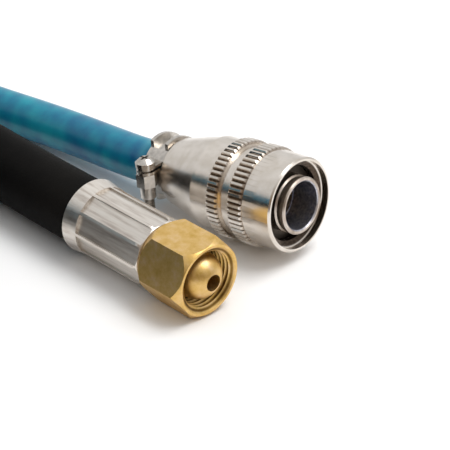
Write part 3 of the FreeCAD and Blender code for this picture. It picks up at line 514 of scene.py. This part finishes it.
def black_hose(material):
    first = behind(NUT_MOUTH, 0.0, 0.0, CRIMP_BACK + HOSE_INSET)
    back = behind(NUT_MOUTH, 0.0, 0.0, FERRULE_BACK + STRAIGHT)
    turn, last, heading = coil_points(BLACK_RADIUS, BLACK_TURN_RADIUS, BLACK_START, BLACK_LOOPS,
                                      2 * BLACK_LOOPS - 1, NUT_MOUTH.z)
    entry = COIL_CENTRE + Vector((-BLACK_TURN_RADIUS, 2 * BLACK_RADIUS, NUT_MOUTH.z))
    ahead = Vector((-1, 0, 0)) * BLACK_RUN
    end = last + heading * (2 * BLACK_RADIUS + BLACK_TAIL + FERRULE_BACK - CRIMP_BACK - HOSE_INSET)
    points = [first, back, back + ahead, *[Vector(p) * MM for p in BLACK_ROUTE], entry, *turn,
              last + heading * 2 * BLACK_RADIUS, end]
    line = smooth_line(points)
    hose = bent_tube("black_hose", line, lambda station, whole: BLACK_RADIUS, material)
    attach(hose, "hoses")
    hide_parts("black_hose_lead", "black_hose_coil", "black_hose_tail")
    return hose


def blue_hose(material):
    first = behind(COUPLER_MOUTH, COUPLER_TURN, COUPLER_TILT, BARB_FRONT)
    swollen = SWELL_LENGTH + SWELL_TAPER
    back = behind(COUPLER_MOUTH, COUPLER_TURN, COUPLER_TILT, BARB_FRONT + swollen + STRAIGHT)
    corner = behind(COUPLER_MOUTH, COUPLER_TURN, COUPLER_TILT, BARB_FRONT + swollen + STRAIGHT + BLUE_RUN)
    height = NUT_MOUTH.z + 3 * BLACK_RADIUS + BLUE_RADIUS + 2 * COIL_GAP
    turn, last, heading = coil_points(BLUE_RADIUS, BLUE_TURN_RADIUS, BLUE_START, BLUE_LOOPS,
                                      2 * BLUE_LOOPS, height)
    out = Vector((math.cos(BLUE_START), math.sin(BLUE_START), 0))
    ahead = Vector((-math.sin(BLUE_START), math.cos(BLUE_START), 0))
    entry = COIL_CENTRE + out * BLUE_TURN_RADIUS - ahead * 2 * BLUE_RADIUS + Vector((0, 0, height))
    end = last + heading * (2 * BLUE_RADIUS + BLUE_TAIL + swollen)
    points = [first, back, corner, *[Vector(p) * MM for p in BLUE_ROUTE], entry, *turn,
              last + heading * 2 * BLUE_RADIUS, end]
    line = smooth_line(points)

    def radius_at(station, whole):
        near = min(station, whole - station)
        taper = min(max((near - SWELL_LENGTH) / SWELL_TAPER, 0.0), 1.0)
        return BLUE_SWELL + (BLUE_RADIUS - BLUE_SWELL) * (1 - math.cos(taper * math.pi)) / 2

    hose = bent_tube("blue_hose", line, radius_at, material)
    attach(hose, "hoses")
    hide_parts("blue_hose_lead", "blue_hose_coil", "blue_hose_tail")
    return hose


# Floor, lights and camera

def floor():
    mesh = bpy.data.meshes.new("floor")
    half = FLOOR_HALF
    corners = [(-half, -half, 0), (half, -half, 0), (half, half, 0), (-half, half, 0)]
    mesh.from_pydata(corners, [], [(0, 1, 2, 3)])
    plane = bpy.data.objects.new("floor", mesh)
    plane.location.z = -FLOOR_DROP
    bpy.context.collection.objects.link(plane)
    material, tree, shader = start("white_floor", Roughness=0.6)
    shader.inputs["Base Color"].default_value = (FLOOR_TONE, FLOOR_TONE, FLOOR_TONE, 1.0)
    shader.inputs["Specular IOR Level"].default_value = 0.15
    mesh.materials.append(material)
    plane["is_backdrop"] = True


def softbox(name, place, size, power):
    data = bpy.data.lights.new(name, "AREA")
    data.shape = "RECTANGLE"
    data.size, data.size_y = size
    data.energy = power
    light = bpy.data.objects.new(name, data)
    light.location = place
    light.rotation_euler = (-Vector(place)).to_track_quat("-Z", "Y").to_euler()
    bpy.context.collection.objects.link(light)


def lights():
    softbox("key", KEY_PLACE, KEY_SIZE, KEY_POWER)
    world = bpy.data.worlds.new("studio")
    bpy.context.scene.world = world
    world.use_nodes = True
    tree = world.node_tree
    tree.nodes.clear()
    way = add(tree, "TexCoord").outputs["Generated"]
    light = add(tree, "VectorMath", {0: way, 1: BACKDROP_WAY}, operation="DOT_PRODUCT").outputs["Value"]
    light = add(tree, "MapRange", {"Value": light, "From Min": -1.0, "From Max": 1.2}).outputs["Result"]
    room = ramp(tree, light, *ROOM_TONES)
    around = add(tree, "Background", {"Color": room, "Strength": WORLD_STRENGTH})
    output = add(tree, "OutputWorld")
    tree.links.new(around.outputs["Background"], output.inputs["Surface"])


def camera():
    data = bpy.data.cameras.new("camera")
    data.sensor_width = CAMERA_SENSOR
    data.lens = CAMERA_LENS
    data.clip_start, data.clip_end = CAMERA_REACH
    eye = bpy.data.objects.new("camera", data)
    right = CAMERA_RIGHT.normalized()
    ahead = CAMERA_UP.cross(right).normalized()
    up = right.cross(ahead)
    turn = Matrix((right, up, -ahead)).transposed()
    eye.matrix_world = Matrix.Translation(CAMERA_PLACE) @ turn.to_4x4()
    bpy.context.collection.objects.link(eye)
    bpy.context.scene.camera = eye


looks = dress_the_fittings()
for spring in SPRINGS:
    squeezed_spring(*spring)
black_hose(looks["black_hose"])
blue_hose(looks["blue_hose"])
floor()
lights()
camera()
bpy.context.scene.view_settings.view_transform = "Standard"
boxes = {"cad": cad_box, "visual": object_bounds()}
boxes = {name: [list(corner) for corner in box] for name, box in boxes.items()}
